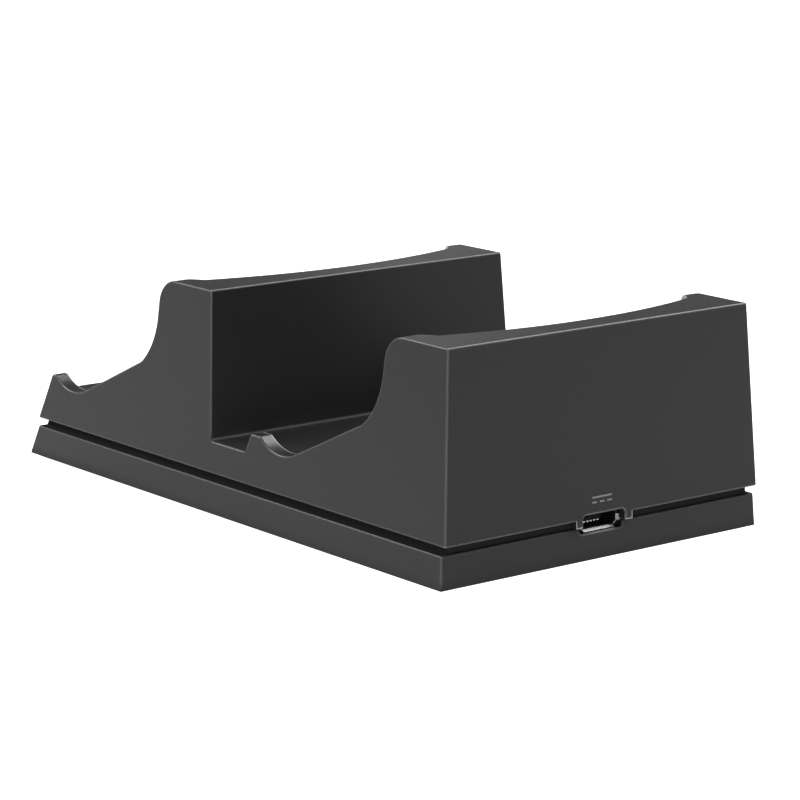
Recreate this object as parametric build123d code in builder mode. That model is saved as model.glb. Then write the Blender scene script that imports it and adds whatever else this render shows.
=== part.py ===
"""Charging dock for two game controllers, one cradle behind the other.

Millimetres, +Z up. The dock stands on its rubber feet at z = 0, its origin is under the middle of its
footprint, the cradles open towards -Y and the power socket is in the rear wall at +Y.
"""
import os
from math import cos, radians, sin, sqrt, tan

from build123d import *

# Overall size
width = 61.3  # base plate across its lower side edges
height = 35.1  # table to the tops of the backrests
foot_stand = 0.8  # how far the rubber feet lift the base plate
wall_draft = 3.15  # degrees that the side and rear walls lean in
front_lean = 26.0  # degrees that the front faces lean back
end_step = 0.82  # base plate set back from the housing at the front and the rear
edge_r = 0.25  # rounding of the outer moulded edges
low_r = 0.15  # rounding of the base plate's lower edges
lip_r = 0.3  # rounding of the scooped rims

# Base plate and shadow gap
base_edge_h = 5.05  # visible band of the base plate
gap_h = 1.25  # height of the shadow gap
gap_depth = 1.25  # depth of the shadow gap
base_floor = 2.0  # thickness of the base plate's floor
rim_h = 2.2  # locating rim above the land
rim_t = 1.0  # thickness of the locating rim
rim_clear = 0.2  # rim to housing wall

# Housing walls
wall = 2.2  # side, front and rear walls
roof = 2.0  # seats, floors and backrest tops
cheek_t = 1.16  # thickness of the cheeks at their top

# One cradle, measured forward from the rear top edge of its backrest
pitch = 56.8  # front cradle to rear cradle
floor_rise = 4.95  # seat floor above the housing's lower edge
trough_rise = 1.1  # lowest line of the cheeks above the seat floor
trough_back = 37.6  # lowest line of the cheeks to the backrest's rear edge
trough_r = 8.6  # hollow of the cheeks behind the hooks
hook_rise = 1.85  # hook tops above the lowest line of the cheeks
front_land = 1.12  # flat top of a front hook
hook_land = 2.4  # flat top of a free-standing hook
hook_lean = 21.6  # degrees that a free-standing hook's front leans back
hook_tip_r = 0.6  # rounding of a hook's front tip
seat_slope = 25.0  # degrees that the seat rises to the rear
bend_out = 4.9  # bend where the cheek leaves the slope, before its front line at the top
bend_r = 4.0  # rounding of that bend
rest_r = 11.5  # hollow from the bend up to the backrest
rest_lean = 6.0  # degrees that the backrest leans back
rest_back = 13.6  # cheek's front line at the top
brow_r = 4.1  # round brow of the cheek
scoop_rim = 4.85  # thickness of the backrest's top at the middle
scoop_r = 84.0  # radius of the scooped backrest in plan
cove_r = 8.0  # seat to scooped backrest
corner_bevel = 3.4  # bevel between the scooped backrest and the cheeks

# Power socket
usb_x = 0.5  # socket centre from the middle plane
usb_drop = 0.185  # socket centre below the middle of the shadow gap
usb_over_board = 0.05  # solder under the socket's shell
usb_shell_w = 7.5
usb_shell_h = 2.45
usb_shell_l = 5.6
usb_sheet = 0.28  # sheet metal of the shell
usb_corner_r = 0.7  # upper corners of the shell
usb_chamfer = 0.72  # lower corners of the shell
usb_flare = 0.34  # length of the flared lips
usb_flare_deg = 45.0
usb_flare_gap = 0.76  # lips end before the corners of the shell
usb_setback = 1.2  # flared lips behind the rear face
usb_hole_side = 0.3  # housing's slot beside the shell
usb_hole_over = 0.235  # housing's slot above the shell
usb_hole_r = 0.7
usb_cut_side = 0.45  # base plate's slot beside the shell
usb_cut_under = 0.2  # base plate's slot below the shell
usb_cut_r = 0.75
usb_rim = 0.15  # bevel of both slots' rims
usb_pocket_clear = 0.6  # room round the shell inside the wall
usb_lip = 1.15  # wall left in front of that pocket
usb_boss_side = 1.4  # boss that fills the shadow gap, beside the slot
boss_clear = 0.2  # parting line round that boss
usb_tongue_side = 0.47  # tongue beside the outer contacts
usb_tongue_t = 0.6
usb_tongue_in = 1.48  # tongue behind the shell's mouth
usb_back_t = 1.2  # insulator block at the rear of the shell
usb_pin_pitch = 0.65
usb_pin_w = 0.36
usb_pin_t = 0.2
usb_pin_count = 5

# Main board
board_w = 27.0
board_t = 1.2
board_r = 1.5  # corners of the board
board_front_clear = 1.3  # board to the base wall at the front
board_rear_clear = 0.3  # board to the base wall at the rear
standoff_wall = 1.35  # standoff round its screw
board_screw_side = 2.3  # screws from the long edges of the board
board_screw_rear = 6.0  # rear screws from the rear end of the board
board_screw_d = 1.9
board_screw_grip = 2.2  # screw below the board
board_head_out = 0.85  # head beyond the shank
board_head_h = 1.3
tip_clear = 0.3  # hole beyond a screw's tip

# Charging contacts
carrier_end = 2.1  # carrier beyond the barrels along X
carrier_side = 1.7  # carrier beyond the barrels along Y
carrier_r = 1.2  # vertical corners
carrier_behind = 2.4  # carrier centre behind the lowest line of the cheeks
carrier_top_rise = 2.25  # carrier top above the seat floor
carrier_flange_h = 1.5
carrier_flange_out = 1.4
window_clear = 0.25  # carrier to the window in the seat
pin_x = 4.2  # contact pins from the middle plane
barrel_wall = 0.35
barrel_lip = 0.5  # turned-in lip that keeps the plunger
barrel_clear = 0.04  # barrel in its bore
plunger_d = 1.6
plunger_travel = 1.2  # how far a plunger can be pressed down
plunger_rest = 0.5  # plunger above the carrier when it is pressed down
tip_round = 0.8  # rounding of a plunger's tip against its radius
plunger_clear = 0.09  # plunger in the lip, collar in the bore
collar_h = 0.8
collar_out = 0.26  # collar beyond the plunger
stop_clear = 0.05  # collar to lip, and spring to its seats
spring_wire = 0.26
spring_turns = 4
spring_slack = 1.25  # spring room left when the plunger is pressed down

# Indicator lights
led_x = 6.0  # lights from the middle plane
led_w = 1.6
led_l = 1.6
led_h = 0.9
led_inset = 2.0  # lights from the front end of the board
pipe_d = 2.4
pipe_foot = 1.3  # leg of a light pipe under its level run
pipe_clear = 0.05  # light pipe in its hole
pipe_gap = 0.3  # light to light pipe
notch_clear = 0.4  # light pipe to the notch in the base plate's rim

# Parts on the main board
chip_w = 5.0
chip_l = 4.0
chip_h = 1.1
coil_d = 6.0
coil_h = 2.6
can_d = 5.0
can_h = 3.2
parts_x = 7.6  # chips and coils from the middle plane
parts_back = 18.0  # row of parts to the backrest's rear edge
can_behind = 7.1  # capacitors behind the front backrest's rear edge
part_bevel = 0.25  # upper edges of these parts
part_gap = 0.5  # between a screw head and a carrier

# Fasteners and feet
screw_side = 9.65  # base screws from the base plate's lower side edges
screw_back = 28.0  # base screws to each backrest's rear edge
screw_d = 2.6
screw_clear = 0.05  # shank in its thread
hole_clear = 0.25  # shank in the base plate, head in its counterbore
screw_grip = 4.7  # thread inside the housing's posts
screw_head_out = 1.1  # head beyond the shank
screw_head_h = 1.7
screw_sink = 0.8  # head inside the base plate's underside
head_bevel = 0.33  # bevel of the screw heads against their height
post_wall = 0.65  # posts round the counterbores
foot_d = 9.0
foot_sink = 0.8  # depth of the foot's pocket
foot_clear = 0.2
foot_side = 7.35  # feet from the base plate's lower side edges
foot_end = 8.95  # feet from the dock's front and rear edges
foot_bevel = 0.4  # bevel of a foot's lower edge
recess_w = 0.8  # cross recess in the screw heads
recess_share = 0.6  # its length and depth against the head

# Levels worked out from the sizes above
base_z = foot_stand
base_top_z = base_z + base_edge_h
housing_z = base_top_z + gap_h
floor_z = housing_z + floor_rise
trough_z = floor_z + trough_rise
hook_z = trough_z + hook_rise
usb_z = base_top_z + gap_h / 2 - usb_drop
board_top_z = usb_z - usb_shell_h / 2 - usb_over_board
board_z = board_top_z - board_t
carrier_top_z = floor_z + carrier_top_rise
head_seat_z = base_z + screw_sink + screw_head_h
pipe_low_z = board_top_z + led_h + pipe_gap
pipe_z = pipe_low_z + pipe_foot + pipe_d / 2

# Places along the dock worked out from the sizes above
hook_run = sqrt(trough_r**2 - (trough_r - hook_rise) ** 2)
front_rake = (hook_z - base_z) * tan(radians(front_lean)) - end_step
rear_rake = (height - housing_z) * tan(radians(wall_draft))
length = front_rake + front_land + hook_run + trough_back + pitch + rear_rake
cradles = {"front": length / 2 - rear_rake - pitch, "rear": length / 2 - rear_rake}
carrier_back = trough_back - carrier_behind
sides = {"left": -1, "right": 1}
pins = {}
for row_name, row_back_y in cradles.items():
    for side_name, side_sign in sides.items():
        pins[row_name, side_name] = (side_sign * pin_x, row_back_y - carrier_back)

# Widths worked out from the sizes above
base_wall = wall + rim_clear + rim_t
seat_drop = roof / cos(radians(seat_slope)) + trough_rise  # cheeks' slope to the seat's underside
bend_back = rest_back + bend_out
usb_boss_w = usb_shell_w + 2 * (usb_hole_side + usb_boss_side)
usb_tongue_w = (usb_pin_count - 1) * usb_pin_pitch + usb_pin_w + 2 * usb_tongue_side
usb_tongue_l = usb_shell_l - usb_back_t - usb_tongue_in
barrel_bore_d = plunger_d + 2 * (collar_out + plunger_clear)
barrel_d = barrel_bore_d + 2 * barrel_wall
spring_solid = (spring_turns + 1) * spring_wire
barrel_depth = barrel_lip + collar_h + 3 * stop_clear + spring_solid + spring_slack + plunger_travel
carrier_l = 2 * (pin_x + carrier_end) + barrel_d
carrier_w = barrel_d + 2 * carrier_side
screw_head_d = screw_d + 2 * screw_head_out
post_d = screw_head_d + 2 * (hole_clear + post_wall)
board_head_d = board_screw_d + 2 * board_head_out
standoff_d = board_screw_d + 2 * standoff_wall


def side_x(z):
    """Half width of the dock's outside at height z."""
    return width / 2 - (z - base_z) * tan(radians(wall_draft))


def front_y(z, step=0.0):
    """Front face at height z, set back by step."""
    return -length / 2 - end_step + step + (z - base_z) * tan(radians(front_lean))


def rear_y(z, step=0.0):
    """Rear face at height z, set in by step."""
    return length / 2 - step - (z - housing_z) * tan(radians(wall_draft))


def ramp_z(forward, drop=0.0):
    """Height of the cheeks' slope at a distance forward of the backrest's rear edge."""
    slope = radians(seat_slope)
    start = trough_back - trough_r * sin(slope)
    return trough_z + trough_r * (1 - cos(slope)) + (start - forward) * tan(slope) - drop


def ramp_forward(z, drop=0.0):
    """Distance forward of the backrest's rear edge where the slope reaches height z."""
    return (ramp_z(0.0, drop) - z) / tan(radians(seat_slope))


def block(inset, z_low, z_high, step=0.0):
    """Drafted body between the front and rear faces, all round inset from the outside."""
    front_inset = inset / cos(radians(front_lean))
    with BuildPart() as body:
        with BuildSketch(Plane.YZ):
            with BuildLine():
                Polyline(
                    (front_y(z_low, step) + front_inset, z_low),
                    (rear_y(z_low, step) - inset, z_low),
                    (rear_y(z_high, step) - inset, z_high),
                    (front_y(z_high, step) + front_inset, z_high),
                    close=True,
                )
            make_face()
        extrude(amount=width, both=True)
        with BuildSketch(Plane.XY.offset(z_low)):
            Rectangle(2 * (side_x(z_low) - inset), 3 * length)
        extrude(amount=z_high - z_low, taper=wall_draft, mode=Mode.INTERSECT)
    return body.part


def cheek_line(back_y):
    """Cheek outline from the hook's inner edge to the backrest's rear top edge, in a YZ sketch."""
    slope = radians(seat_slope)
    lean = radians(rest_lean)
    trough_y = back_y - trough_back
    slope_start = (trough_y + trough_r * sin(slope), trough_z + trough_r * (1 - cos(slope)))
    ThreePointArc((trough_y - hook_run, hook_z), (trough_y, trough_z), slope_start)
    bend = (back_y - bend_back, ramp_z(bend_back))
    rest_top = (back_y - rest_back, height)
    # Distance from the bend to the backrest's line, and from its foot there up to the top
    off = (rest_top[0] - bend[0]) * cos(lean) - (rest_top[1] - bend[1]) * sin(lean)
    up = (rest_top[0] - bend[0]) * sin(lean) + (rest_top[1] - bend[1]) * cos(lean)
    rise = sqrt(2 * rest_r * off - off**2)
    brow = min(brow_r, (up - rise - lip_r) / tan((radians(90) - lean) / 2))
    rest_low = (rest_top[0] - (up - rise) * sin(lean), rest_top[1] - (up - rise) * cos(lean))
    Line(slope_start, bend)
    TangentArc(rest_low, bend, tangent=(-sin(lean), -cos(lean)))
    FilletPolyline(rest_low, rest_top, (back_y, height), radius=brow)


def hook_inner(back_y):
    """Where a hook's flat top meets the hollow of its cheek."""
    return (back_y - trough_back - hook_run, hook_z)


def hook_foot(back_y):
    """Where a free-standing hook's front meets the floor."""
    return hook_inner(back_y)[0] - hook_land - (hook_z - floor_z) * tan(radians(hook_lean))


def wall_foot(back_y):
    """Where a backrest's rear face meets the floor."""
    return back_y + (height - floor_z) * tan(radians(wall_draft))


def scoop_plane(back_y):
    """Plane across the leaning scoop of one backrest, at its axis."""
    lean = radians(rest_lean)
    centre_y = back_y - scoop_rim - scoop_r / cos(lean)
    return Plane(origin=(0, centre_y, height), x_dir=(1, 0, 0), z_dir=(0, sin(lean), cos(lean)))


def scoop_cylinder(back_y, radius):
    """Leaning cylinder whose rear side is the scooped backrest of one cradle."""
    with BuildPart() as cylinder:
        with BuildSketch(scoop_plane(back_y)):
            Circle(radius)
        extrude(amount=height, both=True)
    return cylinder.part


def cradle_space(back_y):
    """Open space of one cradle between its cheeks, above the seat and before the backrest."""
    aisle = hook_foot(cradles["rear"]) - wall_foot(cradles["front"])
    front = hook_foot(back_y) - aisle / 2
    half_w = side_x(height) - cheek_t
    above = height + roof
    with BuildPart() as space:
        with BuildSketch(Plane.YZ):
            with BuildLine():
                Polyline(
                    (front, floor_z),
                    (back_y - ramp_forward(floor_z, trough_rise), floor_z),
                    (back_y, ramp_z(0.0, trough_rise)),
                    (back_y, above),
                    (front, above),
                    close=True,
                )
            make_face()
        extrude(amount=half_w, both=True)
        add(scoop_cylinder(back_y, scoop_r), mode=Mode.INTERSECT)
        rim = space.edges().filter_by(GeomType.LINE, reverse=True).sort_by(Axis.Z)
        fillet(rim[0], cove_r)
        with BuildSketch(scoop_plane(back_y)) as plan:
            Circle(scoop_r)
            Rectangle(2 * half_w, 3 * scoop_r, mode=Mode.INTERSECT)
            chamfer(plan.vertices().group_by(Axis.Y)[-1], corner_bevel)
        extrude(plan.sketch, amount=height, both=True, mode=Mode.INTERSECT)
        with BuildSketch(Plane.XY.offset(height)) as over:
            with Locations((0, back_y)):
                Rectangle(3 * width, 2 * length)
        extrude(over.sketch, amount=roof)
        rim = space.edges().filter_by(GeomType.LINE, reverse=True)
        fillet(rim.filter_by_position(Axis.Z, height - lip_r, height + lip_r), lip_r)
    return space.part


def backrest_core(back_y):
    """Hollow inside one backrest, behind the scooped wall."""
    inner_low = ramp_z(0.0, seat_drop)
    reach = trough_back / 2
    lean = tan(radians(wall_draft))
    with BuildPart() as core:
        with BuildSketch(Plane.YZ):
            with BuildLine():
                Polyline(
                    (back_y - reach, ramp_z(reach, seat_drop)),
                    (back_y - wall + (height - inner_low) * lean, inner_low),
                    (back_y - wall + roof * lean, height - roof),
                    (back_y - reach, height - roof),
                    close=True,
                )
            make_face()
        extrude(amount=width, both=True)
        add(scoop_cylinder(back_y, scoop_r + wall), mode=Mode.SUBTRACT)
    return core.part


def screw_places():
    """Base screw positions."""
    from_middle = width / 2 - screw_side
    return [(sign * from_middle, y - screw_back) for sign in sides.values() for y in cradles.values()]


def board_screw_places():
    """Board screw positions."""
    from_middle = board_w / 2 - board_screw_side
    carrier_rear_y = cradles["front"] - carrier_back + carrier_w / 2 + carrier_flange_out
    ends = (carrier_rear_y + part_gap + board_head_d / 2, board_rear_y - board_screw_rear)
    return [(sign * from_middle, y) for sign in sides.values() for y in ends]


def socket_section(plane, shrink=0.0):
    """Socket shell's section on a plane, shrunk all round; its lower corners are cut off."""
    with BuildSketch(plane) as section:
        Rectangle(usb_shell_w - 2 * shrink, usb_shell_h - 2 * shrink)
        chamfer(section.vertices().group_by(Axis.Y)[0], usb_chamfer - shrink * (2 - sqrt(2)))
        fillet(section.vertices().group_by(Axis.Y)[-1], usb_corner_r - shrink)
    return section.sketch


def socket_opening(start_y, depth, grow):
    """Cuts a box for the socket into the part being built, from start_y towards the front."""
    with BuildSketch(Plane.XZ.offset(-start_y)) as pocket:
        with Locations((usb_x, usb_z)):
            Rectangle(usb_shell_w + 2 * grow, usb_shell_h + 2 * grow)
    extrude(pocket.sketch, amount=depth, mode=Mode.SUBTRACT)


def socket_slot(beside, above, corner_r, step=0.0):
    """Cuts the socket's slot with its bevelled rim into a rear wall that is set in by step."""
    slot_w = usb_shell_w + 2 * beside
    slot_h = usb_shell_h + 2 * above
    with BuildSketch(Plane.XZ.offset(-length / 2 - end_step)) as slot:
        with Locations((usb_x, usb_z)):
            RectangleRounded(slot_w, slot_h, corner_r)
    extrude(slot.sketch, amount=base_wall + 2 * end_step, mode=Mode.SUBTRACT)
    inward = (0, -cos(radians(wall_draft)), -sin(radians(wall_draft)))
    face = Plane(origin=(usb_x, rear_y(usb_z, step), usb_z), x_dir=(1, 0, 0), z_dir=inward)
    with BuildSketch(face) as rim:
        RectangleRounded(slot_w + 2 * usb_rim, slot_h + 2 * usb_rim, corner_r + usb_rim)
    extrude(rim.sketch, amount=2 * usb_rim, taper=45, mode=Mode.SUBTRACT)


def cylinder_at(places, diameter, z_low, z_high, mode=Mode.ADD):
    """Upright cylinders at (x, y) places between two heights, in the part being built."""
    with BuildSketch(Plane.XY.offset(z_low)) as circles:
        with Locations(*places):
            Circle(diameter / 2)
    extrude(circles.sketch, amount=z_high - z_low, mode=mode)


def cross_recess(places, head_d, z, depth):
    """Cuts a cross recess into screw heads; a negative depth cuts downwards."""
    with BuildSketch(Plane.XY.offset(z)) as recess:
        with Locations(*places):
            Rectangle(head_d * recess_share, recess_w)
            Rectangle(recess_w, head_d * recess_share)
    extrude(recess.sketch, amount=depth, mode=Mode.SUBTRACT)


def write(part, name):
    """Labels one piece and writes its STEP file."""
    part.label = name
    export_step(part, f"parts/{name}.step")


board_front_y = front_y(board_z) + base_wall / cos(radians(front_lean)) + board_front_clear
board_rear_y = rear_y(board_z) - base_wall - board_rear_clear
led_y = board_front_y + led_inset
pipe_places = [(sign * led_x, pipe_z) for sign in sides.values()]
screw_end_z = housing_z + screw_grip
foot_places = {}
for row_name, row_sign in zip(cradles, (-1, 1)):
    for side_name, side_sign in sides.items():
        place = (side_sign * (width / 2 - foot_side), row_sign * (length / 2 - foot_end))
        foot_places[f"foot_{row_name}_{side_name}"] = place

os.makedirs("parts", exist_ok=True)

# Hollow of the housing under its seats, with the screw posts left standing
with BuildPart() as hollow:
    ceiling = floor_z - roof
    lean = tan(radians(wall_draft))
    front_wall = wall / cos(radians(front_lean))
    with BuildSketch(Plane.YZ):
        with BuildLine():
            corners = [(front_y(z) + front_wall, z) for z in (housing_z, ceiling)]
            for back_y in cradles.values():
                top = ramp_z(0.0, seat_drop)
                corners.append((back_y - ramp_forward(ceiling, seat_drop), ceiling))
                corners.append((back_y - wall + (height - top) * lean, top))
                corners.append((back_y - wall + (height - ceiling) * lean, ceiling))
            corners[-1] = (rear_y(housing_z) - wall, housing_z)
            Polyline(*corners, close=True)
        make_face()
    extrude(amount=width, both=True)
    for back_y in cradles.values():
        add(backrest_core(back_y))
    add(block(wall, housing_z, height), mode=Mode.INTERSECT)
    cylinder_at(screw_places(), post_d, housing_z, height, Mode.SUBTRACT)

# Top housing: outer shell with both cradles
with BuildPart() as top_housing:
    with BuildSketch(Plane.YZ) as outline:
        with BuildLine():
            front_back_y, rear_top_y = cradles.values()
            FilletPolyline(
                (front_y(housing_z), housing_z),
                (front_y(hook_z), hook_z),
                hook_inner(front_back_y),
                radius=hook_tip_r,
            )
            cheek_line(front_back_y)
            FilletPolyline(
                (front_back_y, height),
                (wall_foot(front_back_y), floor_z),
                (hook_foot(rear_top_y), floor_z),
                (hook_inner(rear_top_y)[0] - hook_land, hook_z),
                hook_inner(rear_top_y),
                radius=hook_tip_r,
            )
            cheek_line(rear_top_y)
            Polyline((rear_top_y, height), (rear_y(housing_z), housing_z), (front_y(housing_z), housing_z))
        make_face()
        for back_y in cradles.values():
            fillet(outline.vertices().sort_by_distance(hook_inner(back_y))[0], hook_tip_r)
            bend = (back_y - bend_back, ramp_z(bend_back))
            fillet(outline.vertices().sort_by_distance(bend)[0], bend_r)
    extrude(amount=width, both=True)
    with BuildSketch(Plane.XY.offset(housing_z)):
        Rectangle(2 * side_x(housing_z), 3 * length)
    extrude(amount=height, taper=wall_draft, mode=Mode.INTERSECT)
    side_faces = top_housing.faces().sort_by(Axis.X)
    across = top_housing.edges().filter_by(Axis.X)
    rims = [across.sort_by_distance((0, y, height))[0] for y in cradles.values()]
    lower = across.group_by(Axis.Z)[0]
    fillet(side_faces[0].edges() + side_faces[-1].edges() + rims + lower, edge_r)
    for back_y in cradles.values():
        add(cradle_space(back_y), mode=Mode.SUBTRACT)
    add(hollow.part, mode=Mode.SUBTRACT)
    # Windows for the charging contacts
    with BuildSketch(Plane.XY.offset(housing_z)):
        with Locations(*[(0, back_y - carrier_back) for back_y in cradles.values()]):
            window = (carrier_l + 2 * window_clear, carrier_w + 2 * window_clear)
            RectangleRounded(*window, carrier_r + window_clear)
    extrude(amount=height, mode=Mode.SUBTRACT)
    # Boss that fills the shadow gap at the socket
    boss_low = base_top_z + boss_clear
    boss_high = housing_z + 2 * edge_r
    with BuildSketch(Plane.YZ.offset(usb_x - usb_boss_w / 2)):
        with BuildLine():
            Polyline(
                (rear_y(boss_low) - gap_depth + boss_clear, boss_low),
                (rear_y(boss_low), boss_low),
                (rear_y(boss_high), boss_high),
                (rear_y(boss_high) - gap_depth + boss_clear, boss_high),
                close=True,
            )
        make_face()
    extrude(amount=usb_boss_w)
    socket_slot(usb_hole_side, usb_hole_over, usb_hole_r)
    socket_opening(rear_y(usb_z) - usb_lip, base_wall + usb_lip, usb_pocket_clear)
    # Holes for the base screws and the light pipes
    thread_d = screw_d + 2 * screw_clear
    cylinder_at(screw_places(), thread_d, housing_z, screw_end_z + tip_clear, Mode.SUBTRACT)
    with BuildSketch(Plane.XZ.offset(-front_y(base_z))):
        with Locations(*pipe_places):
            Circle(pipe_d / 2 + pipe_clear)
    extrude(amount=-(led_y - front_y(base_z)), mode=Mode.SUBTRACT)
write(top_housing.part, "top_housing")

# Base plate: tray with a land under the housing's wall and a locating rim inside it
with BuildPart() as base_plate:
    add(block(0.0, base_z, base_top_z, end_step))
    fillet(base_plate.edges().group_by(Axis.Z)[1:], edge_r)
    fillet(base_plate.faces().sort_by(Axis.Z)[0].edges(), low_r)
    add(block(gap_depth, base_top_z - edge_r, housing_z))
    add(block(wall + rim_clear, base_top_z, housing_z + rim_h))
    add(block(base_wall, base_z + base_floor, housing_z + rim_h), mode=Mode.SUBTRACT)
    cylinder_at(screw_places(), post_d, base_z + base_floor / 2, housing_z)
    cylinder_at(board_screw_places(), standoff_d, base_z + base_floor / 2, board_z)
    # Screw holes and counterbores, board screw holes, pockets for the feet
    cylinder_at(screw_places(), screw_d + 2 * hole_clear, base_z, housing_z, Mode.SUBTRACT)
    cylinder_at(screw_places(), screw_head_d + 2 * hole_clear, base_z, head_seat_z, Mode.SUBTRACT)
    thread_d = board_screw_d + 2 * screw_clear
    thread_end = board_z - board_screw_grip - tip_clear
    cylinder_at(board_screw_places(), thread_d, thread_end, board_z, Mode.SUBTRACT)
    pocket_d = foot_d + 2 * foot_clear
    cylinder_at(foot_places.values(), pocket_d, base_z, base_z + foot_sink, Mode.SUBTRACT)
    # Room for the socket, and notches in the rim for the socket and the light pipes
    socket_slot(usb_cut_side, usb_cut_under, usb_cut_r, end_step)
    socket_opening(rear_y(usb_z) - usb_lip, base_wall + usb_lip, usb_pocket_clear)
    notches = [(usb_x, rear_y(housing_z), usb_shell_w + 2 * usb_pocket_clear)]
    for x, _ in pipe_places:
        notches.append((x, front_y(housing_z) + base_wall, pipe_d + 2 * notch_clear))
    for x, y, cut_w in notches:
        with BuildSketch(Plane.XY.offset(housing_z)):
            with Locations((x, y)):
                Rectangle(cut_w, 4 * base_wall)
        extrude(amount=rim_h, mode=Mode.SUBTRACT)
write(base_plate.part, "base_plate")

# Rubber feet, each in its pocket under the base plate
for name, place in foot_places.items():
    with BuildPart() as foot:
        cylinder_at([place], foot_d, 0.0, base_z + foot_sink)
        chamfer(foot.edges().group_by(Axis.Z)[0], foot_bevel)
    write(foot.part, name)

# Base screws, driven from below into the housing's posts
with BuildPart() as base_screws:
    cylinder_at(screw_places(), screw_head_d, base_z + screw_sink, head_seat_z)
    chamfer(base_screws.edges().group_by(Axis.Z)[0], screw_head_h * head_bevel)
    cylinder_at(screw_places(), screw_d, head_seat_z, screw_end_z)
    cross_recess(screw_places(), screw_head_d, base_z + screw_sink, screw_head_h * recess_share)
write(base_screws.part, "base_screws")

# Main board on its four standoffs
with BuildPart() as main_board:
    with BuildSketch(Plane.XY.offset(board_z)):
        with Locations((0, (board_front_y + board_rear_y) / 2)):
            RectangleRounded(board_w, board_rear_y - board_front_y, board_r)
    extrude(amount=board_t)
    hole_d = board_screw_d + 2 * hole_clear
    cylinder_at(board_screw_places(), hole_d, board_z, board_top_z, Mode.SUBTRACT)
write(main_board.part, "main_board")

with BuildPart() as board_screws:
    head_top_z = board_top_z + board_head_h
    cylinder_at(board_screw_places(), board_head_d, board_top_z, head_top_z)
    chamfer(board_screws.edges().group_by(Axis.Z)[-1], board_head_h * head_bevel)
    cylinder_at(board_screw_places(), board_screw_d, board_z - board_screw_grip, board_top_z)
    cross_recess(board_screw_places(), board_head_d, head_top_z, -board_head_h * recess_share)
write(board_screws.part, "board_screws")

# Power socket: sheet metal shell with flared lips, insulator with its tongue, five contacts
mouth_y = rear_y(usb_z) - usb_setback - usb_flare
socket_in = Plane(origin=(usb_x, mouth_y, usb_z), x_dir=(1, 0, 0), z_dir=(0, -1, 0))
socket_out = Plane(origin=(usb_x, mouth_y, usb_z), x_dir=(-1, 0, 0), z_dir=(0, 1, 0))
with BuildPart() as usb_shell:
    extrude(socket_section(socket_in), amount=usb_shell_l)
    extrude(socket_section(socket_out), amount=usb_flare, taper=-usb_flare_deg)
    extrude(socket_section(socket_in, usb_sheet), amount=usb_shell_l, mode=Mode.SUBTRACT)
    mouth = socket_section(socket_out, usb_sheet)
    extrude(mouth, amount=usb_flare, taper=-usb_flare_deg, mode=Mode.SUBTRACT)
    with BuildSketch(socket_out):
        with GridLocations(usb_shell_w, usb_shell_h, 2, 2):
            Rectangle(2 * usb_flare_gap, 2 * usb_flare_gap)
    extrude(amount=usb_flare, mode=Mode.SUBTRACT)
write(usb_shell.part, "usb_shell")

shell_end_y = mouth_y - usb_shell_l
tongue_end_y = shell_end_y + usb_back_t + usb_tongue_l
with BuildPart() as usb_insulator:
    extrude(socket_section(socket_in.offset(usb_shell_l - usb_back_t), usb_sheet), amount=usb_back_t)
    with BuildSketch(Plane.XZ.offset(-shell_end_y - usb_back_t)):
        with Locations((usb_x, usb_z)):
            Rectangle(usb_tongue_w, usb_tongue_t)
    extrude(amount=-usb_tongue_l)
write(usb_insulator.part, "usb_insulator")

with BuildPart() as usb_contacts:
    with BuildSketch(Plane.XY.offset(usb_z - usb_tongue_t / 2)):
        with Locations((usb_x, tongue_end_y - usb_tongue_l / 2)):
            with GridLocations(usb_pin_pitch, 1, usb_pin_count, 1):
                Rectangle(usb_pin_w, usb_tongue_l)
    extrude(amount=-usb_pin_t)
write(usb_contacts.part, "usb_contacts")

# Charging contacts of each cradle: carrier on the board, pin barrels, sprung plungers
barrel_floor_z = carrier_top_z - barrel_depth
collar_top_z = carrier_top_z - barrel_lip - stop_clear
collar_z = collar_top_z - collar_h
for row, back_y in cradles.items():
    row_pins = [place for (pin_row, _), place in pins.items() if pin_row == row]
    with BuildPart() as contact_carrier:
        with BuildSketch(Plane.XY.offset(board_top_z)):
            with Locations((0, back_y - carrier_back)):
                flange = (carrier_l + 2 * carrier_flange_out, carrier_w + 2 * carrier_flange_out)
                RectangleRounded(*flange, carrier_r)
        extrude(amount=carrier_flange_h)
        with BuildSketch(Plane.XY.offset(board_top_z)):
            with Locations((0, back_y - carrier_back)):
                RectangleRounded(carrier_l, carrier_w, carrier_r)
        extrude(amount=carrier_top_z - board_top_z)
        chamfer(contact_carrier.edges().group_by(Axis.Z)[-1], edge_r)
        bore = barrel_d + 2 * barrel_clear
        cylinder_at(row_pins, bore, board_top_z, carrier_top_z, Mode.SUBTRACT)
    write(contact_carrier.part, f"contact_carrier_{row}")

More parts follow.
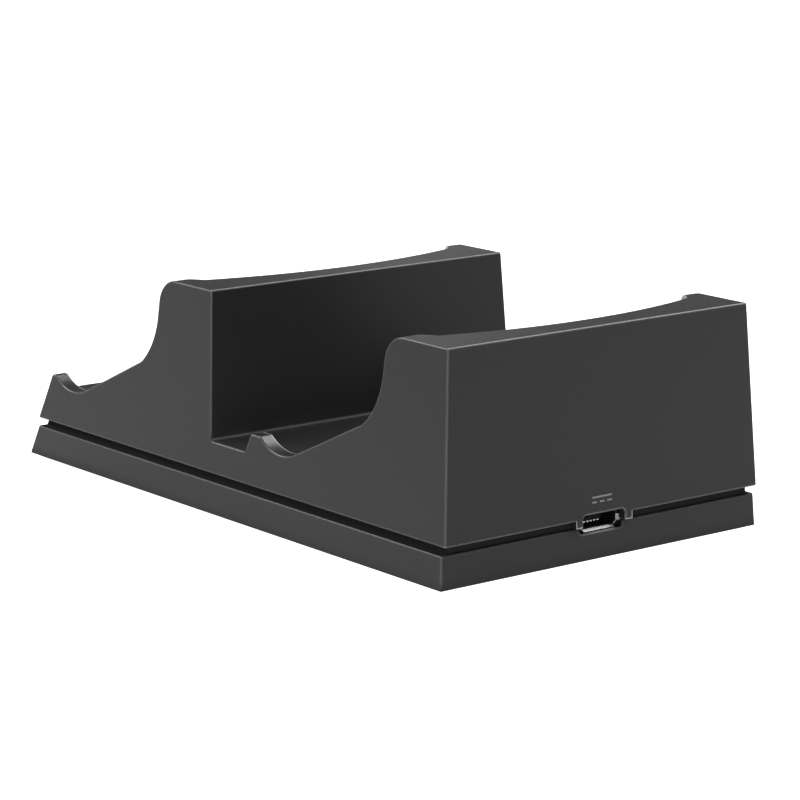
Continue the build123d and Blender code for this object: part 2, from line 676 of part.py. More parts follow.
for (row, side), place in pins.items():
    with BuildPart() as pin_barrel:
        cylinder_at([place], barrel_d, board_top_z, carrier_top_z)
        cylinder_at([place], plunger_d + 2 * plunger_clear, barrel_floor_z, carrier_top_z, Mode.SUBTRACT)
        cylinder_at([place], barrel_bore_d, barrel_floor_z, carrier_top_z - barrel_lip, Mode.SUBTRACT)
    write(pin_barrel.part, f"pin_barrel_{row}_{side}")

    with BuildPart() as pin_plunger:
        cylinder_at([place], barrel_bore_d - 2 * plunger_clear, collar_z, collar_top_z)
        plunger_top_z = carrier_top_z + plunger_rest + plunger_travel
        cylinder_at([place], plunger_d, collar_z, plunger_top_z)
        fillet(pin_plunger.edges().group_by(Axis.Z)[-1], tip_round * plunger_d / 2)
    write(pin_plunger.part, f"pin_plunger_{row}_{side}")

    with BuildPart() as pin_spring:
        spring_r = (barrel_bore_d - spring_wire) / 2 - plunger_clear
        spring_low_z = barrel_floor_z + stop_clear + spring_wire / 2
        spring_high_z = collar_z - stop_clear - spring_wire / 2
        coil_pitch = (spring_high_z - spring_low_z) / spring_turns
        with BuildLine():
            coil = Helix(coil_pitch, spring_high_z - spring_low_z, spring_r, center=(*place, spring_low_z))
        with BuildSketch(Plane(origin=coil @ 0, z_dir=coil % 0)):
            Rectangle(spring_wire, spring_wire)
        sweep(is_frenet=True)
    write(pin_spring.part, f"pin_spring_{row}_{side}")

# Indicator lights on the board, and the light pipes that lead to the front face
for row, sign in zip(cradles, sides.values()):
    with BuildPart() as indicator_led:
        with BuildSketch(Plane.XY.offset(board_top_z)):
            with Locations((sign * led_x, led_y)):
                Rectangle(led_w, led_l)
        extrude(amount=led_h)
    write(indicator_led.part, f"indicator_led_{row}")

    with BuildPart() as light_pipe:
        cylinder_at([(sign * led_x, led_y)], pipe_d, pipe_low_z, pipe_z + pipe_d / 2)
        with BuildSketch(Plane.XZ.offset(-front_y(base_z))):
            with Locations((sign * led_x, pipe_z)):
                Circle(pipe_d / 2)
        extrude(amount=-(led_y + pipe_d / 2 - front_y(base_z)))
        add(block(0.0, base_z, height), mode=Mode.INTERSECT)
        # Slanted facet that turns the light forward
        split(bisect_by=Plane(origin=(0, led_y, pipe_z), z_dir=(0, 1, 1)), keep=Keep.BOTTOM)
    write(light_pipe.part, f"light_pipe_{row}")

# Charging electronics on the board, one chip and one coil for each cradle
for row, back_y in cradles.items():
    with BuildPart() as charge_chip:
        with BuildSketch(Plane.XY.offset(board_top_z)):
            with Locations((-parts_x, back_y - parts_back)):
                Rectangle(chip_w, chip_l)
        extrude(amount=chip_h)
        chamfer(charge_chip.edges().group_by(Axis.Z)[-1], part_bevel)
    write(charge_chip.part, f"charge_chip_{row}")

    with BuildPart() as power_coil:
        place = (parts_x, back_y - parts_back)
        cylinder_at([place], coil_d, board_top_z, board_top_z + coil_h)
        chamfer(power_coil.edges().group_by(Axis.Z)[-1], part_bevel)
    write(power_coil.part, f"power_coil_{row}")

with BuildPart() as filter_capacitors:
    cans = [(sign * parts_x, cradles["front"] + can_behind) for sign in sides.values()]
    cylinder_at(cans, can_d, board_top_z, board_top_z + can_h)
    chamfer(filter_capacitors.edges().group_by(Axis.Z)[-1], part_bevel)
write(filter_capacitors.part, "filter_capacitors")
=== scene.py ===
"""Looks of a charging dock for two game controllers.

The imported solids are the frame. This script gives each of them its finish, adds the printed direct-current
mark above the power socket, and sets up a plain white studio with the camera at the photograph's angle.
Lengths are in metres, in the dock's own frame: +Z up, +Y towards the rear wall with the power socket.
"""

import logging
import math
from collections.abc import Mapping, Sequence
from dataclasses import dataclass
from enum import Enum
from typing import Any, ClassVar, Protocol

import bpy
from mathutils import Matrix, Vector


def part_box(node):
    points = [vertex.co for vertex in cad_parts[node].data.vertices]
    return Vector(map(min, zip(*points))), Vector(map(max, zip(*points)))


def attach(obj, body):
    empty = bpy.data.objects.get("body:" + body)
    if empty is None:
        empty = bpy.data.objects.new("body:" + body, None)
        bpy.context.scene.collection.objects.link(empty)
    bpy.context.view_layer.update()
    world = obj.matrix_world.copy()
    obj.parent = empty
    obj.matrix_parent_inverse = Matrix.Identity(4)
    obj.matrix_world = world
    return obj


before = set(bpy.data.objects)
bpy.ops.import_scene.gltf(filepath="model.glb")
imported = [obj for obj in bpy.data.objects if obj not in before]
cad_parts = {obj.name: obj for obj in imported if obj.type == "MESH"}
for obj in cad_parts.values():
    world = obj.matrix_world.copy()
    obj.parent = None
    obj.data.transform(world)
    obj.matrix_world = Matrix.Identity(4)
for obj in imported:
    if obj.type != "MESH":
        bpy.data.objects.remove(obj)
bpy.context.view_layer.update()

LOG = logging.getLogger("charging_dock")
MM = 0.001
NOISE_MEAN = 0.5
DOCK_BODY = "dock"

Colour = tuple[float, float, float]
Point = tuple[float, float, float]


class Axis(Enum):
    """Direction in which a drawn or rolled metal shows its streaks."""

    X = (1.0, 0.0, 0.0)
    Y = (0.0, 1.0, 0.0)
    Z = (0.0, 0.0, 1.0)


class Row(Enum):
    """The two cradles, one behind the other."""

    FRONT = "front"
    REAR = "rear"


class Side(Enum):
    """The two sides of the dock, seen from its front."""

    LEFT = "left"
    RIGHT = "right"


class Term:
    """A node socket that takes part in arithmetic: each operation adds one Math node."""

    def __init__(self, recipe: "Recipe", socket: bpy.types.NodeSocket) -> None:
        """Keeps the socket and the recipe that new nodes go into."""
        self.recipe = recipe
        self.socket = socket

    def _math(self, operation: str, first: "Term | float", second: "Term | float") -> "Term":
        """Adds a Math node.

        Args:
            operation: The node's operation, such as ADD.
            first: Value or link of the first socket.
            second: Value or link of the second socket.

        Returns:
            The node's result.
        """
        return self.recipe.add("ShaderNodeMath", {"operation": operation}, {0: first, 1: second})

    def __add__(self, other: "Term | float") -> "Term":
        """Sum."""
        return self._math("ADD", self, other)

    __radd__ = __add__

    def __sub__(self, other: "Term | float") -> "Term":
        """Difference."""
        return self._math("SUBTRACT", self, other)

    def __rsub__(self, other: float) -> "Term":
        """Difference from a number."""
        return self._math("SUBTRACT", other, self)

    def __mul__(self, other: "Term | float") -> "Term":
        """Product."""
        return self._math("MULTIPLY", self, other)

    __rmul__ = __mul__

    def __gt__(self, other: "Term | float") -> "Term":
        """One where this value is the larger, zero elsewhere."""
        return self._math("GREATER_THAN", self, other)

    def clamped(self) -> "Term":
        """This value, kept between 0 and 1."""
        return self.recipe.add("ShaderNodeClamp", {}, {"Value": self})


class Recipe:
    """One node material, built around its Principled shader."""

    CROWDING_RAYS: ClassVar[int] = 6
    # The Mix node's colour sockets go by number, because its other data types have the same names.
    MIX_FACTOR: ClassVar[int] = 0
    MIX_FIRST: ClassVar[int] = 6
    MIX_SECOND: ClassVar[int] = 7
    MIX_RESULT: ClassVar[int] = 2

    def __init__(self, name: str) -> None:
        """Makes a plain material.

        Args:
            name: The material's name.
        """
        self.material = bpy.data.materials.new(name)
        self.material.use_nodes = True
        self.tree = self.material.node_tree
        self.shader = next(n for n in self.tree.nodes if n.type == "BSDF_PRINCIPLED")

    def add(
        self,
        kind: str,
        settings: Mapping[str, Any],
        inputs: Mapping[str | int, Any],
        output: str | int = 0,
    ) -> Term:
        """Adds one node.

        Args:
            kind: The node's type name.
            settings: Its settings, which are set first; "stops" are a ramp's places and colours.
            inputs: Values or links of its sockets, by name or number.
            output: The socket that is handed back.

        Returns:
            That output as a term.
        """
        node = self.tree.nodes.new(kind)
        for key, value in settings.items():
            if key == "stops":
                self._set_stops(node.color_ramp, value)
            else:
                setattr(node, key, value)
        for key, value in inputs.items():
            self._feed(node.inputs[key], value)
        return Term(self, node.outputs[output])

    @staticmethod
    def _set_stops(ramp: bpy.types.ColorRamp, stops: Sequence[tuple[float, Colour]]) -> None:
        """Gives a ramp its places and colours.

        Args:
            ramp: The ramp, which starts with two stops.
            stops: Place and colour of each stop, in order.
        """
        while len(ramp.elements) < len(stops):
            ramp.elements.new(1.0)
        for element, (place, colour) in zip(ramp.elements, stops):
            element.position = place
            element.color = (*colour, 1.0)

    def _feed(self, socket: bpy.types.NodeSocket, value: Any) -> None:
        """Links a term to a socket, or sets the socket's own value.

        Args:
            socket: The input.
            value: A term or a constant. A colour of three channels gets its alpha here.
        """
        if isinstance(value, Term):
            self.tree.links.new(value.socket, socket)
        elif isinstance(value, tuple) and len(value) == 3 and socket.type == "RGBA":
            socket.default_value = (*value, 1.0)
        else:
            socket.default_value = value

    def shade(self, **inputs: Any) -> None:
        """Sets or links sockets of the Principled shader; an underscore stands for a space."""
        for key, value in inputs.items():
            self._feed(self.shader.inputs[key.replace("_", " ")], value)

    def place(self) -> Term:
        """Object coordinates, which are the dock's own frame."""
        return self.add("ShaderNodeTexCoord", {}, {}, "Object")

    def noise(self, size: float, detail: float = 2.0, stretch: Point = (1.0, 1.0, 1.0)) -> Term:
        """Soft noise from 0 to 1.

        Args:
            size: Length of its features.
            detail: How many finer layers it has.
            stretch: Scale of the coordinates along each axis.

        Returns:
            The noise value.
        """
        mapped = self.add("ShaderNodeMapping", {}, {"Vector": self.place(), "Scale": stretch})
        inputs = {"Vector": mapped, "Scale": 1.0 / size, "Detail": detail}
        return self.add("ShaderNodeTexNoise", {}, inputs, "Fac")

    def crowding(self, reach: float, inwards: bool) -> Term:
        """How much of the view from the surface is taken up by something close by.

        Args:
            reach: How far away it is looked for.
            inwards: Looks into the piece itself, which finds its outer edges. Otherwise it looks out of it,
                at all pieces, which finds hollows and gaps.

        Returns:
            0 on an open face, and up to about 1 in a sharp corner.
        """
        settings = {"inside": inwards, "only_local": inwards, "samples": self.CROWDING_RAYS}
        return 1.0 - self.add("ShaderNodeAmbientOcclusion", settings, {"Distance": reach}, "AO")

    def mix(self, factor: Term, first: Colour | Term, second: Colour) -> Term:
        """Mixes two colours.

        Args:
            factor: Share of the second colour.
            first: Colour at 0.
            second: Colour at 1.

        Returns:
            The mixed colour.
        """
        inputs = {self.MIX_FACTOR: factor, self.MIX_FIRST: first, self.MIX_SECOND: second}
        return self.add("ShaderNodeMix", {"data_type": "RGBA"}, inputs, self.MIX_RESULT)

    def cover(self, mask: Term, second: Term) -> None:
        """Lays a second shader over the first.

        Args:
            mask: Share of the second shader.
            second: That shader.
        """
        output = next(n for n in self.tree.nodes if n.type == "OUTPUT_MATERIAL")
        first = Term(self, self.shader.outputs["BSDF"])
        mixed = self.add("ShaderNodeMixShader", {}, {0: mask, 1: first, 2: second})
        self._feed(output.inputs["Surface"], mixed)

    def bump(self, height: Term, depth: float, strength: float) -> Term:
        """Small relief.

        Args:
            height: Relief from 0 to 1.
            depth: Its full height.
            strength: How much of it shows.

        Returns:
            The normal for the shader.
        """
        inputs = {"Height": height, "Distance": depth, "Strength": strength}
        return self.add("ShaderNodeBump", {}, inputs, "Normal")


class Finish(Protocol):
    """Anything that makes one material."""

    def material(self) -> bpy.types.Material:
        """Makes the material."""
        ...


def grey(level: float, tint: float = 0.0) -> Colour:
    """A linear grey, a little bluer with a positive tint."""
    return (level * (1.0 - tint), level, level * (1.0 + tint))


@dataclass(frozen=True)
class MouldedPlastic:
    """Spark-eroded moulding: dark, satin, with a fine grain, faint flow marks and a painted highlight along
    its outer edges.
    """

    name: str
    tone: float
    roughness: float
    specular: float = 0.15
    tone_spread: float = 0.12
    tint: float = 0.02
    roughness_spread: float = 0.06
    noise_detail: float = 3.0
    grain: float = 0.16 * MM
    grain_depth: float = 0.012 * MM
    grain_strength: float = 0.5
    flow: float = 26.0 * MM
    flow_share: float = 0.65
    edge_highlight_tone: float = 0.02
    edge_reach: float = 0.24 * MM
    edge_start: float = 0.12
    edge_gain: float = 7.0
    highlight_grain_base: float = 0.5
    hollow_reach: float = 2.5 * MM
    hollow_shelter: float = 10.0
    hollow_dullness: float = 1.2

    def material(self) -> bpy.types.Material:
        """Makes the plastic."""
        return self.recipe().material

    def recipe(self) -> Recipe:
        """Shades the plastic.

        Returns:
            A recipe whose colour, gloss and relief vary a little over the surface. Outer edges get a painted
            highlight of paler colour, except beside a hollow or gap, and hollows are duller.
        """
        recipe = Recipe(self.name)
        flow = recipe.noise(self.flow, self.noise_detail)
        grain = recipe.noise(self.grain, self.noise_detail)
        spread = self.tone * self.tone_spread
        mottle = flow * self.flow_share + grain * (1.0 - self.flow_share)
        moulded = recipe.mix(mottle, grey(self.tone - spread), grey(self.tone + spread, self.tint))
        # Painted highlight: outer edges, found by rays cast into the piece, are mixed towards a pale grey,
        # except beside a hollow or gap.
        edge = (recipe.crowding(self.edge_reach, True) - self.edge_start) * self.edge_gain
        hollow = recipe.crowding(self.hollow_reach, False)
        open_face = (1.0 - hollow * self.hollow_shelter).clamped()
        painted_edge_highlight = edge.clamped() * open_face * (grain + self.highlight_grain_base)
        shine = self.roughness + (flow - NOISE_MEAN) * self.roughness_spread
        recipe.shade(
            Base_Color=recipe.mix(painted_edge_highlight, moulded, grey(self.edge_highlight_tone)),
            Roughness=shine + hollow * self.hollow_dullness,
            Specular_IOR_Level=self.specular,
            Normal=recipe.bump(grain, self.grain_depth, self.grain_strength),
        )
        return recipe


@dataclass(frozen=True)
class GapShadedPlastic(MouldedPlastic):
    """Moulded plastic with painted shade above a height: a dull black shader covers it inside the shadow
    gap.
    """

    gap_low: float = 5.845 * MM
    gap_shade_tone: float = 0.009
    gap_roughness: float = 0.95
    gap_specular: float = 0.04

    def material(self) -> bpy.types.Material:
        """Makes the plastic.

        Returns:
            A material that shows the moulding below the gap and painted shade, a dull black, inside it.
        """
        recipe = self.recipe()
        height = recipe.add("ShaderNodeSeparateXYZ", {}, {"Vector": recipe.place()}, "Z")
        # Painted shade: above the gap's lower edge a dark, dull, barely reflecting shader covers the
        # plastic.
        dull = {
            "Base Color": grey(self.gap_shade_tone),
            "Roughness": self.gap_roughness,
            "Specular IOR Level": self.gap_specular,
        }
        recipe.cover(height > self.gap_low, recipe.add("ShaderNodeBsdfPrincipled", {}, dull))
        return recipe.material


@dataclass(frozen=True)
class PlatedMetal:
    """Rolled, drawn or turned metal with fine streaks along one axis."""

    name: str
    colour: Colour
    roughness: float
    along: Axis = Axis.X
    roughness_spread: float = 0.16
    streak: float = 0.05 * MM
    streak_length: float = 20.0
    streak_depth: float = 0.002 * MM
    streak_strength: float = 0.35
    cloud_size: float = 30.0
    cloud_share: float = 0.7
    tarnish: float = 0.24

    def material(self) -> bpy.types.Material:
        """Makes the metal.

        Returns:
            A metallic material with streaks and a little tarnish.
        """
        recipe = Recipe(self.name)
        stretch = tuple(1.0 / self.streak_length if step else 1.0 for step in self.along.value)
        streaks = recipe.noise(self.streak, stretch=stretch)
        cloud = recipe.noise(self.streak * self.cloud_size)
        dull = tuple(channel * (1.0 - self.tarnish) for channel in self.colour)
        bright = cloud * self.cloud_share + streaks * (1.0 - self.cloud_share)
        recipe.shade(
            Base_Color=recipe.mix(bright, dull, self.colour),
            Metallic=1.0,
            Roughness=self.roughness + (streaks - NOISE_MEAN) * self.roughness_spread,
            Normal=recipe.bump(streaks, self.streak_depth, self.streak_strength),
        )
        return recipe.material


@dataclass(frozen=True)
class SoftRubber:
    """Moulded rubber with a chalky bloom."""

    name: str
    tone: float
    roughness: float = 0.85
    roughness_spread: float = 0.15
    pores: float = 0.35 * MM
    pore_detail: float = 4.0
    pore_depth: float = 0.03 * MM
    pore_strength: float = 0.5
    bloom_size: float = 12.0
    bloom_gain: float = 1.8

    def material(self) -> bpy.types.Material:
        """Makes the rubber.

        Returns:
            A dull material with fine pores and a paler bloom in patches.
        """
        recipe = Recipe(self.name)
        pores = recipe.noise(self.pores, self.pore_detail)
        bloom = recipe.noise(self.pores * self.bloom_size)
        recipe.shade(
            Base_Color=recipe.mix(bloom, grey(self.tone), grey(self.tone * self.bloom_gain)),
            Roughness=self.roughness - pores * self.roughness_spread,
            Normal=recipe.bump(pores, self.pore_depth, self.pore_strength),
        )
        return recipe.material


@dataclass(frozen=True)
class BoardLaminate:
    """Circuit board: green solder mask over a pattern of copper tracks."""

    name: str
    mask: Colour = (0.012, 0.085, 0.03)
    track: Colour = (0.03, 0.15, 0.055)
    pitch: float = 1.6 * MM
    bands_per_pitch: float = 0.32
    track_wander: float = 3.0
    track_level: float = 0.55
    track_height: float = 0.03 * MM
    track_strength: float = 0.4
    roughness: float = 0.32
    roughness_spread: float = 0.12
    cloud: float = 3.0 * MM

    def material(self) -> bpy.types.Material:
        """Makes the laminate.

        Returns:
            A semi-gloss green material with raised tracks.
        """
        recipe = Recipe(self.name)
        settings = {"wave_type": "BANDS", "bands_direction": "X"}
        inputs = {
            "Vector": recipe.place(),
            "Scale": self.bands_per_pitch / self.pitch,
            "Distortion": self.track_wander,
            "Detail": 0.0,
        }
        tracks = recipe.add("ShaderNodeTexWave", settings, inputs, "Fac") > self.track_level
        recipe.shade(
            Base_Color=recipe.mix(tracks, self.mask, self.track),
            Roughness=self.roughness + recipe.noise(self.cloud) * self.roughness_spread,
            Normal=recipe.bump(tracks, self.track_height, self.track_strength),
        )
        return recipe.material


@dataclass(frozen=True)
class ClearLens:
    """Diffused clear plastic of the lights and light pipes."""

    name: str
    colour: Colour
    roughness: float = 0.28
    roughness_spread: float = 0.12
    transmission: float = 0.55
    refraction: float = 1.49
    haze: float = 0.8 * MM
    haze_detail: float = 3.0
    haze_gain: float = 1.12

    def material(self) -> bpy.types.Material:
        """Makes the lens.

        Returns:
            A milky, part see-through material.
        """
        recipe = Recipe(self.name)
        haze = recipe.noise(self.haze, self.haze_detail)
        pale = tuple(min(1.0, channel * self.haze_gain) for channel in self.colour)
        recipe.shade(
            Base_Color=recipe.mix(haze, self.colour, pale),
            Roughness=self.roughness + haze * self.roughness_spread,
            Transmission_Weight=self.transmission,
            IOR=self.refraction,
        )
        return recipe.material


@dataclass(frozen=True)
class PrintedInk:
    """Pad-printed ink: a paler tone of the plastic, a little broken up by its grain."""

    name: str
    tone: float
    thin: float = 0.7
    roughness: float = 0.62
    roughness_spread: float = 0.1
    grain: float = 0.14 * MM
    grain_detail: float = 3.0

    def material(self) -> bpy.types.Material:
        """Makes the ink.

        Returns:
            A matte material with thin places.
        """
        recipe = Recipe(self.name)
        cover = recipe.noise(self.grain, self.grain_detail)
        recipe.shade(
            Base_Color=recipe.mix(cover, grey(self.tone * self.thin), grey(self.tone)),
            Roughness=self.roughness + cover * self.roughness_spread,
        )
        return recipe.material


def wear(names: Sequence[str], finish: Finish) -> None:
    """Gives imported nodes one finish.

    Args:
        names: The nodes.
        finish: What makes their shared material.
    """
    material = finish.material()
    for name in names:
        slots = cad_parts[name].data.materials
        slots.clear()
        slots.append(material)
        LOG.info("%s wears %s", name, material.name)


def each_pin(kind: str) -> list[str]:
    """Names of a piece that stands once on each side of both cradles."""
    return [f"{kind}_{row.value}_{side.value}" for row in Row for side in Side]


def each_row(kind: str) -> list[str]:
    """Names of a piece that each cradle has once."""
    return [f"{kind}_{row.value}" for row in Row]


@dataclass
class Casing:
    """The two mouldings that show from every side, and the feet under them."""

    # Both mouldings get a pale painted highlight along their outer edges; the base plate also gets painted
    # shade in its shadow gap.
    shell: MouldedPlastic = MouldedPlastic("housing_plastic", tone=0.007, roughness=0.37, edge_highlight_tone=0.2)
    tray: MouldedPlastic = GapShadedPlastic("base_plastic", tone=0.007, roughness=0.37, edge_highlight_tone=0.2)
    rubber: SoftRubber = SoftRubber("foot_rubber", tone=0.012)

    def dress(self) -> None:
        """Gives the housing, the base plate and the feet their finishes."""
        wear(["top_housing"], self.shell)
        wear(["base_plate"], self.tray)
        wear(each_pin("foot"), self.rubber)


@dataclass
class PowerSocket:
    """The small power socket in the rear wall, and the printed mark above it."""

    mark_line: float = 3.8 * MM
    mark_stroke: float = 0.26 * MM
    mark_gap: float = 0.74 * MM
    mark_rise: float = 3.55 * MM
    mark_shift: float = 0.4 * MM
    mark_thickness: float = 0.02 * MM
    mark_dashes: int = 3
    dash_share: float = 0.7
    end_round: float = 0.3
    end_segments: int = 3
    # Painted shade: the shell's steel is given a dark colour that stands for the shade inside the slot.
    shaded_shell_steel: PlatedMetal = PlatedMetal("socket_steel", (0.11, 0.11, 0.108), roughness=0.36, along=Axis.Y)
    insulator: MouldedPlastic = MouldedPlastic("socket_insulator", tone=0.004, roughness=0.5)
    nickel: PlatedMetal = PlatedMetal("socket_nickel", (0.5, 0.49, 0.46), roughness=0.3, along=Axis.Y)
    ink: PrintedInk = PrintedInk("mark_ink", tone=0.1)

    def dress(self) -> None:
        """Gives the socket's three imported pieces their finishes."""
        wear(["usb_shell"], self.shaded_shell_steel)
        wear(["usb_insulator"], self.insulator)
        wear(["usb_contacts"], self.nickel)

    def build_mark(self) -> bpy.types.Object:
        """Prints the direct-current mark, a line over a row of dashes, on the rear wall.

        Returns:
            The mark as one mesh that lies on the wall.
        """
        low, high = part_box("usb_shell")
        centre_x = (low.x + high.x) / 2.0 + self.mark_shift
        centre_z = (low.z + high.z) / 2.0 + self.mark_rise
        dash = self.mark_line * self.dash_share / self.mark_dashes
        step = (self.mark_line - dash) / (self.mark_dashes - 1)
        strokes = [(0.0, self.mark_gap / 2.0, self.mark_line)]
        for number in range(self.mark_dashes):
            offset = (number - (self.mark_dashes - 1) / 2.0) * step
            strokes.append((offset, -self.mark_gap / 2.0, dash))
        pieces = [self._stroke(centre_x + x, centre_z + z, run) for x, z, run in strokes]
        bpy.ops.object.select_all(action="DESELECT")
        for piece in pieces:
            piece.select_set(True)
        bpy.context.view_layer.objects.active = pieces[0]
        bpy.ops.object.join()
        mark = bpy.context.view_layer.objects.active
        mark.name = "direct_current_mark"
        mark.data.materials.append(self.ink.material())
        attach(mark, DOCK_BODY)
        LOG.info("%s lies on the rear wall", mark.name)
        return mark

    def _stroke(self, x: float, z: float, run: float) -> bpy.types.Object:
        """Makes one stroke of the mark with its place in its mesh.

        Args:
            x: Middle of the stroke across the wall.
            z: Middle of the stroke above the table.
            run: Its length.

        Returns:
            A flat bar with rounded ends, sunk by half its thickness into the wall.
        """
        wall_y, lean = rear_wall(z)
        bpy.ops.object.select_all(action="DESELECT")
        bpy.ops.mesh.primitive_cube_add(size=1.0)
        bar = bpy.context.active_object
        size = Matrix.Diagonal((run, self.mark_thickness, self.mark_stroke, 1.0))
        bar.data.transform(size)
        bevel = bar.modifiers.new("ends", "BEVEL")
        bevel.affect = "EDGES"
        bevel.width = self.mark_stroke * self.end_round
        bevel.segments = self.end_segments
        bevel.limit_method = "ANGLE"
        bpy.ops.object.modifier_apply(modifier=bevel.name)
        turn = Matrix.Rotation(lean, 4, "X")
        bar.data.transform(Matrix.Translation((x, wall_y, z)) @ turn)
        return bar


def rear_wall(z: float, least_normal: float = 0.99) -> tuple[float, float]:
    """The housing's rear face at a height.

    Args:
        z: Height above the table.
        least_normal: How far towards the rear a face has to point to count as wall.

    Returns:
        Its Y there, and the angle in radians by which it leans towards the front.
    """
    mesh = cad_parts["top_housing"].data
    flat = [p for p in mesh.polygons if p.normal.y > least_normal and p.center.y > 0.0]
    face = max(flat, key=lambda p: p.area)
    lean = math.atan2(face.normal.z, face.normal.y)
    return face.center.y - (z - face.center.z) * math.tan(lean), lean


@dataclass
class ChargingContacts:
    """Carriers, barrels, sprung plungers and springs of both cradles."""

    carrier: MouldedPlastic = MouldedPlastic("carrier_plastic", tone=0.014, roughness=0.4)
    gold: PlatedMetal = PlatedMetal("contact_gold", (0.86, 0.64, 0.28), roughness=0.18, along=Axis.Z)
    wire: PlatedMetal = PlatedMetal("spring_steel", (0.6, 0.6, 0.6), roughness=0.3, along=Axis.Z)

    def dress(self) -> None:
        """Gives the contact pieces their finishes."""
        wear(each_row("contact_carrier"), self.carrier)
        wear(each_pin("pin_barrel") + each_pin("pin_plunger"), self.gold)
        wear(each_pin("pin_spring"), self.wire)


@dataclass
class Electronics:
    """The main board with its parts, lights and screws."""

    laminate: BoardLaminate = BoardLaminate("board_laminate")
    chip: MouldedPlastic = MouldedPlastic("chip_plastic", tone=0.014, roughness=0.42)
    ferrite: MouldedPlastic = MouldedPlastic("coil_ferrite", tone=0.05, roughness=0.6)
    can: PlatedMetal = PlatedMetal("capacitor_can", (0.74, 0.75, 0.76), roughness=0.3, along=Axis.Z)
    light: ClearLens = ClearLens("led_body", (0.82, 0.8, 0.66))
    pipe: ClearLens = ClearLens("light_lens", (0.4, 0.42, 0.43))
    screw: PlatedMetal = PlatedMetal("screw_steel", (0.12, 0.12, 0.125), roughness=0.38, along=Axis.Z)

    def dress(self) -> None:
        """Gives the inner pieces and the fasteners their finishes."""
        wear(["main_board"], self.laminate)
        wear(each_row("charge_chip"), self.chip)
        wear(each_row("power_coil"), self.ferrite)
        wear(["filter_capacitors"], self.can)
        wear(each_row("indicator_led"), self.light)
        wear(each_row("light_pipe"), self.pipe)
        wear(["base_screws", "board_screws"], self.screw)


@dataclass(frozen=True)
class Softbox:
    """One square area light that looks at the dock, with its angles in degrees and its power in watts."""

    name: str
    azimuth: float
    elevation: float
    distance: float
    size: float
    power: float

    def place(self, target: Vector) -> None:
        """Adds the light.

        Args:
            target: The point that it looks at.
        """
        lamp = bpy.data.lights.new(self.name, "AREA")
        lamp.shape = "SQUARE"
        lamp.size = self.size
        lamp.energy = self.power
        holder = bpy.data.objects.new(self.name, lamp)
        back = direction(self.azimuth, self.elevation)
        holder.location = target + back * self.distance
        holder.rotation_euler = back.to_track_quat("Z", "Y").to_euler()
        bpy.context.scene.collection.objects.link(holder)
        LOG.info("%s shines from %g, %g degrees", self.name, self.azimuth, self.elevation)


def direction(azimuth: float, elevation: float) -> Vector:
    """Unit vector towards a viewer at that azimuth and elevation, in degrees."""
    turn, rise = math.radians(azimuth), math.radians(elevation)
    return Vector((math.sin(turn) * math.cos(rise), -math.cos(turn) * math.cos(rise), math.sin(rise)))


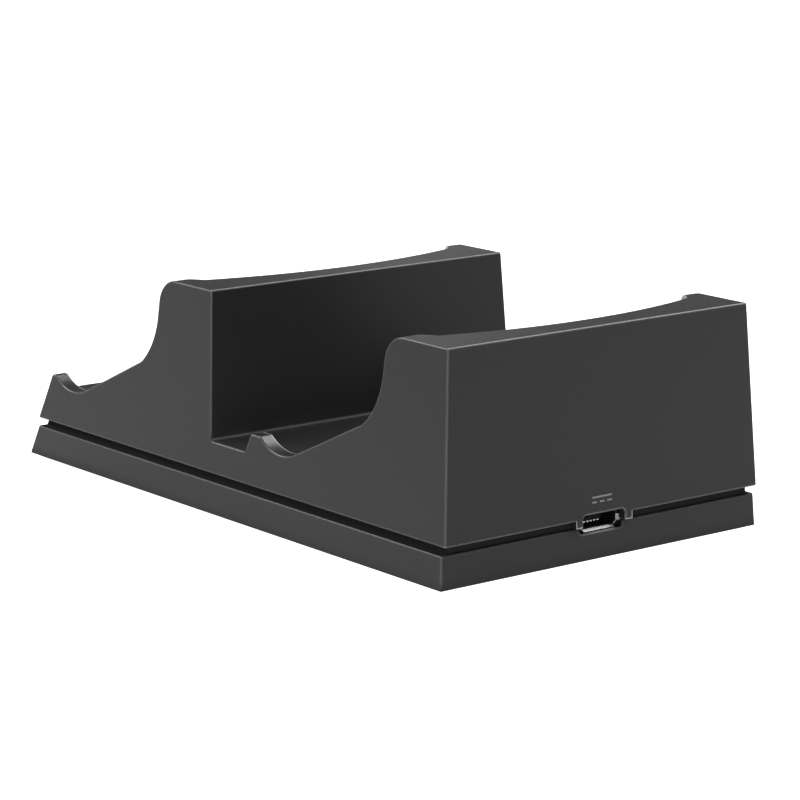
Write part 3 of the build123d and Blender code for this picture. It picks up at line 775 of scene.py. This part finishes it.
@dataclass
class Studio:
    """White floor, even surroundings, soft lights and the camera, with its angles in degrees."""

    FRAME_PIXELS: ClassVar[float] = 800.0
    SENSOR: ClassVar[float] = 36.0
    RAMP_MIDDLE: ClassVar[float] = 0.5

    camera_at: Point = (297.84 * MM, 381.92 * MM, 120.09 * MM)
    azimuth: float = 141.625
    elevation: float = 12.243
    roll: float = 0.171
    focal_pixels: float = 3143.84
    clip_start: float = 10.0 * MM
    floor_size: float = 8.0
    floor_drop: float = 0.02 * MM
    floor_tone: float = 0.3
    floor_roughness: float = 0.9
    floor_specular: float = 0.1
    floor_glow: float = 1.6
    front_glow: float = 0.58
    glow_reach: float = 110.0 * MM
    surround: float = 0.22
    softboxes: tuple[Softbox, ...] = (
        Softbox("rear_edge_softbox", azimuth=232.0, elevation=45.0, distance=0.9, size=0.25, power=7.5),
        Softbox("hook_softbox", azimuth=280.0, elevation=48.0, distance=0.9, size=0.35, power=10.0),
        Softbox("side_edge_softbox", azimuth=40.0, elevation=32.0, distance=0.9, size=0.25, power=14.0),
        Softbox("corner_softbox", azimuth=142.0, elevation=6.5, distance=1.2, size=0.24, power=7.0),
        Softbox("back_softbox", azimuth=321.0, elevation=12.0, distance=1.5, size=0.09, power=0.08),
    )

    def build(self) -> None:
        """Sets up the floor, the surroundings, the lights and the camera."""
        self._lay_floor()
        self._set_surround()
        low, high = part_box("top_housing")
        for softbox in self.softboxes:
            softbox.place((low + high) / 2.0)
        self._set_camera()

    def _lay_floor(self) -> None:
        """Lays a pale, backlit floor under the feet, a light table that is brighter behind the dock."""
        bpy.ops.object.select_all(action="DESELECT")
        bpy.ops.mesh.primitive_plane_add(size=self.floor_size, location=(0.0, 0.0, -self.floor_drop))
        floor = bpy.context.active_object
        floor.name = "studio_floor"
        recipe = Recipe("floor_white")
        along = recipe.add("ShaderNodeSeparateXYZ", {}, {"Vector": recipe.place()}, "Y")
        rise = along * (self.RAMP_MIDDLE / self.glow_reach) + self.RAMP_MIDDLE
        stops = ((0.0, grey(self.front_glow)), (1.0, grey(1.0)))
        recipe.shade(
            Base_Color=grey(self.floor_tone),
            Roughness=self.floor_roughness,
            Specular_IOR_Level=self.floor_specular,
            Emission_Color=recipe.add("ShaderNodeValToRGB", {"stops": stops}, {"Fac": rise}, "Color"),
            Emission_Strength=self.floor_glow,
        )
        floor.data.materials.append(recipe.material)
        LOG.info("%s lies under the feet", floor.name)

    def _set_surround(self) -> None:
        """Gives the scene an even white surrounding."""
        world = bpy.data.worlds.new("white_surround")
        world.use_nodes = True
        backdrop = next(n for n in world.node_tree.nodes if n.type == "BACKGROUND")
        backdrop.inputs["Color"].default_value = (*grey(1.0), 1.0)
        backdrop.inputs["Strength"].default_value = self.surround
        bpy.context.scene.world = world
        bpy.context.scene.view_settings.view_transform = "Standard"

    def _set_camera(self) -> None:
        """Places the camera at the photograph's angle."""
        lens = bpy.data.cameras.new("photo_view")
        lens.sensor_width = self.SENSOR
        lens.lens = self.focal_pixels / self.FRAME_PIXELS * self.SENSOR
        lens.clip_start = self.clip_start
        holder = bpy.data.objects.new("photo_view", lens)
        bpy.context.scene.collection.objects.link(holder)
        back = direction(self.azimuth, self.elevation)
        right = Vector((0.0, 0.0, 1.0)).cross(back).normalized()
        up = back.cross(right)
        cosine, sine = math.cos(math.radians(self.roll)), math.sin(math.radians(self.roll))
        rolled_right = right * cosine + up * sine
        rolled_up = up * cosine - right * sine
        turn = Matrix((rolled_right, rolled_up, back)).transposed()
        holder.matrix_world = Matrix.Translation(self.camera_at) @ turn.to_4x4()
        bpy.context.scene.camera = holder
        LOG.info("camera looks from %g, %g degrees", self.azimuth, self.elevation)


def main() -> None:
    """Builds the dock's looks and the studio."""
    logging.basicConfig(level=logging.INFO, format="%(name)s: %(message)s")
    socket = PowerSocket()
    for part in (Casing(), socket, ChargingContacts(), Electronics()):
        part.dress()
    socket.build_mark()
    Studio().build()


if __name__ == "__main__":
    main()
